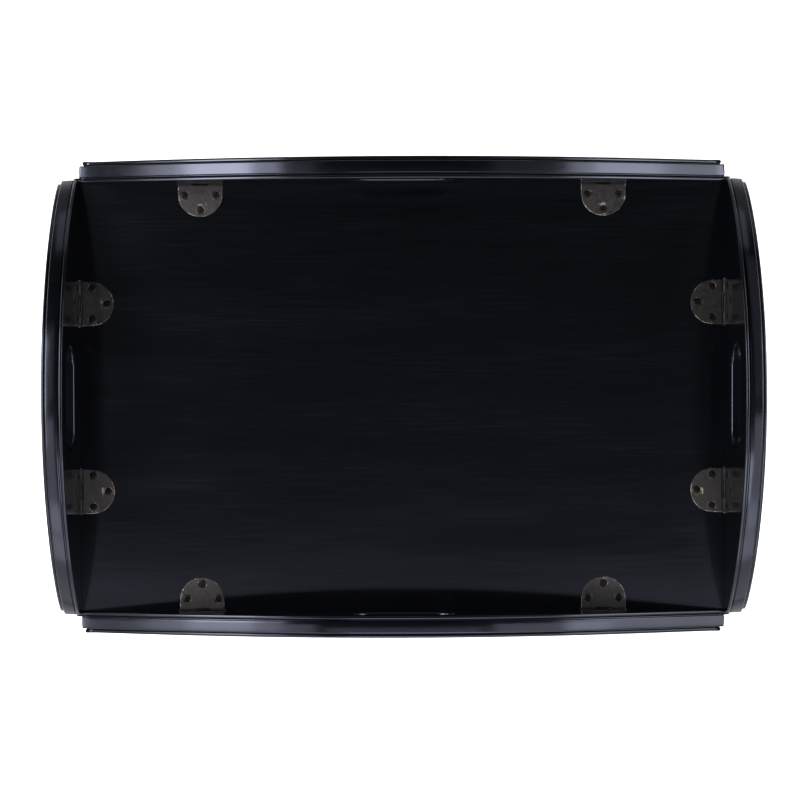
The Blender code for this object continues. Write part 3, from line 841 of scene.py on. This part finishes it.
# Tray panel
tray_blank = block((tray_edge_reach - tray_length / 2, tray_edge_reach - tray_width / 2,
                    table_height - board_thickness),
                   (tray_length / 2 - tray_edge_reach, tray_width / 2 - tray_edge_reach,
                    table_height))
bmesh.ops.bevel(tray_blank, geom=tray_blank.edges[:], offset=arris_radius, segments=2, profile=0.5,
                affect="EDGES", material=-1)
tray_board = carve("tray_board", to_mesh("tray_blank", tray_blank), tray_tools)
shade(tray_board, board_flat_area)
piece("tray_board", tray_board, lacquer_along, "table", "black_lacquer", "tray_panel")

# Glides
glide_profile = rounded([(0, 0), (glide_radius, 0), (glide_radius, glide_height),
                         (0, glide_height)], glide_round, 4)
for label, sx, sy in (("front_left", -1, -1), ("front_right", 1, -1), ("back_left", -1, 1),
                      ("back_right", 1, 1)):
    bm = turned([(radius, 0, level) for radius, level in glide_profile], (0, 0, 1), 40)
    bmesh.ops.translate(bm, verts=bm.verts, vec=(sx * leg_x, sy * leg_y, 0))
    foot = to_mesh("glide", bm)
    shade(foot)
    piece("foot_glide_" + label, foot, glide_nylon, "table", "glide_nylon", "glide_" + label)

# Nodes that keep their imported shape
for name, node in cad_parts.items():
    if name.startswith(("corner_block", "cleat")):
        look = block_wood
    elif name.startswith("detent_spring"):
        look = spring_steel
    elif name.startswith(("leg", "stretcher_left", "stretcher_right", "apron_left",
                          "apron_right")):
        look = lacquer_across
    elif name.startswith(("apron", "stretcher")):
        look = lacquer_along
    else:
        continue
    for slot in node.material_slots:
        slot.material = look


# Floor and studio

def stage_plane(name, size, height, material):
    bm = bmesh.new()
    bmesh.ops.create_grid(bm, x_segments=1, y_segments=1, size=size / 2)
    bmesh.ops.translate(bm, verts=bm.verts, vec=(0, 0, height))
    mesh = bpy.data.meshes.new(name)
    bm.to_mesh(mesh)
    bm.free()
    mesh.materials.append(material)
    placed(name, mesh)


def floor_material():
    """A pale matt floor that shows white to the camera, with the table's soft shadow kept."""
    material = bpy.data.materials.new("studio_floor")
    material.use_nodes = True
    tree = material.node_tree
    shader = tree.nodes["Principled BSDF"]
    shader.inputs["Base Color"].default_value = (0.82, 0.82, 0.82, 1.0)
    shader.inputs["Roughness"].default_value = 0.9
    shader.inputs["Emission Color"].default_value = (1.0, 1.0, 1.0, 1.0)
    paths = tree.nodes.new("ShaderNodeLightPath")
    seen = combine(tree, "MAXIMUM", paths.outputs["Is Camera Ray"],
                   combine(tree, "MULTIPLY", paths.outputs["Is Glossy Ray"], 0.35))
    tree.links.new(combine(tree, "MULTIPLY", seen, 0.72), shader.inputs["Emission Strength"])
    return material


stage_plane("floor", 14.0, -0.0002, floor_material())


def studio_world():
    """White to the camera. Reflections see a pale backdrop and a dim ceiling, lighter in front."""
    world = bpy.data.worlds.new("studio")
    world.use_nodes = True
    tree = world.node_tree
    place = tree.nodes.new("ShaderNodeTexCoord")
    parts = tree.nodes.new("ShaderNodeSeparateXYZ")
    tree.links.new(place.outputs["Generated"], parts.inputs["Vector"])
    ceiling = remap(tree, parts.outputs["Y"], -0.35, 0.12, 0.20, 0.015)
    backdrop = remap(tree, parts.outputs["Z"], 0.15, 0.40, 0.35, 0.0)
    paths = tree.nodes.new("ShaderNodeLightPath")
    seen = combine(tree, "MAXIMUM", paths.outputs["Is Camera Ray"],
                   combine(tree, "MAXIMUM", ceiling, backdrop))
    tree.links.new(seen, tree.nodes["Background"].inputs["Strength"])
    tree.nodes["Background"].inputs["Color"].default_value = (1.0, 1.0, 1.0, 1.0)
    return world


bpy.context.scene.world = studio_world()


def softbox(name, place, aim, width, height, brightness):
    """A one-sided light panel, where a brightness of 1 is as bright as a white floor."""
    data = bpy.data.lights.new(name, "AREA")
    data.shape = "RECTANGLE"
    data.size, data.size_y = width, height
    data.energy = brightness * math.pi * width * height
    lamp = placed(name, data)
    lamp.location = place
    lamp.rotation_euler = (Vector(aim) - Vector(place)).to_track_quat("-Z", "Y").to_euler()


tray_middle = (0, 0, table_height)
left_key_place, left_key_aim = (-1.41, 0.30, 1.81), (-0.25, 0.30, 0.57)
right_key_place, right_key_aim = (1.64, 0.30, 1.56), (0.26, 0.30, 0.57)
left_wing_place, left_wing_aim = (-1.41, -0.385, 1.81), (-0.25, -0.385, 0.57)
# Softboxes round the table: name, place, aim, width, height and brightness
for lamp_values in (
        ("front_softbox", (0.0, -1.9, 1.75), tray_middle, 2.6, 1.0, 1.8),
        ("front_wall", (0.0, -3.4, 1.3), tray_middle, 6.0, 2.4, 1.1),
        ("back_softbox", (0.0, 2.3, 1.3), tray_middle, 2.2, 0.8, 0.8),
        ("left_key", left_key_place, left_key_aim, 0.94, 0.50, 14.0),
        ("left_halo", left_key_place, left_key_aim, 0.94, 1.00, 5.0),
        ("right_key", right_key_place, right_key_aim, 0.70, 0.45, 8.0),
        ("right_halo", right_key_place, right_key_aim, 0.70, 0.85, 4.2),
        ("left_wing", left_wing_place, left_wing_aim, 0.43, 0.50, 5.0),
        ("left_wing_halo", left_wing_place, left_wing_aim, 0.43, 1.00, 2.0),
        ("right_wing", (1.64, -0.325, 1.56), (0.26, -0.325, 0.57), 0.55, 0.90, 3.4)):
    softbox(*lamp_values)

panel_level = 2.06
# Panels that look straight down: name, x, y, width, height and brightness
for name, x, y, width, height, brightness in (
        ("left_panel", -1.945, -1.27, 2.51, 2.07, 1.5),
        ("right_panel", 1.415, -1.27, 1.33, 2.07, 1.6),
        ("front_panel", 0.03, -0.56, 1.26, 0.28, 0.8),
        ("front_fill", 0.15, -1.10, 1.20, 0.80, 5.5),
        ("left_back_panel", -1.14, 0.42, 0.92, 0.90, 0.45),
        ("right_back_panel", 1.20, 1.22, 0.92, 2.50, 0.30)):
    softbox(name, (x, y, panel_level), (x, y, 0), width, height, brightness)

# Low strips that draw the bright lines on the side leaves' rims
softbox("left_strip", (-2.3, 0.6, 1.1), (-0.38, 0.6, 0.57), 1.6, 0.5, 7.0)
softbox("right_strip", (2.4, 0.6, 1.05), (0.38, 0.6, 0.57), 1.6, 0.5, 6.0)

# Camera over the tray, looking down, with its picture measured in pixels
view_size = 800.0
focal_length = 1605.0
principal_point = (373.2, 418.2)
camera_rise = 1.8160
camera_data = bpy.data.cameras.new("camera")
camera_data.sensor_width = 36.0
camera_data.lens = camera_data.sensor_width * focal_length / view_size
camera_data.shift_x = 0.5 - principal_point[0] / view_size
camera_data.shift_y = principal_point[1] / view_size - 0.5
camera_data.clip_start = 0.05
camera_data.clip_end = 50.0
camera = placed("camera", camera_data)
camera.matrix_world = (Matrix.Translation((-0.0305, 0.0101, table_height + camera_rise))
                       @ Matrix.Rotation(math.radians(-0.184), 4, "Z")
                       @ Matrix.Rotation(math.radians(-1.074), 4, "X")
                       @ Matrix.Rotation(math.radians(0.074), 4, "Y"))
bpy.context.scene.camera = camera

bpy.context.scene.view_settings.view_transform = "Standard"
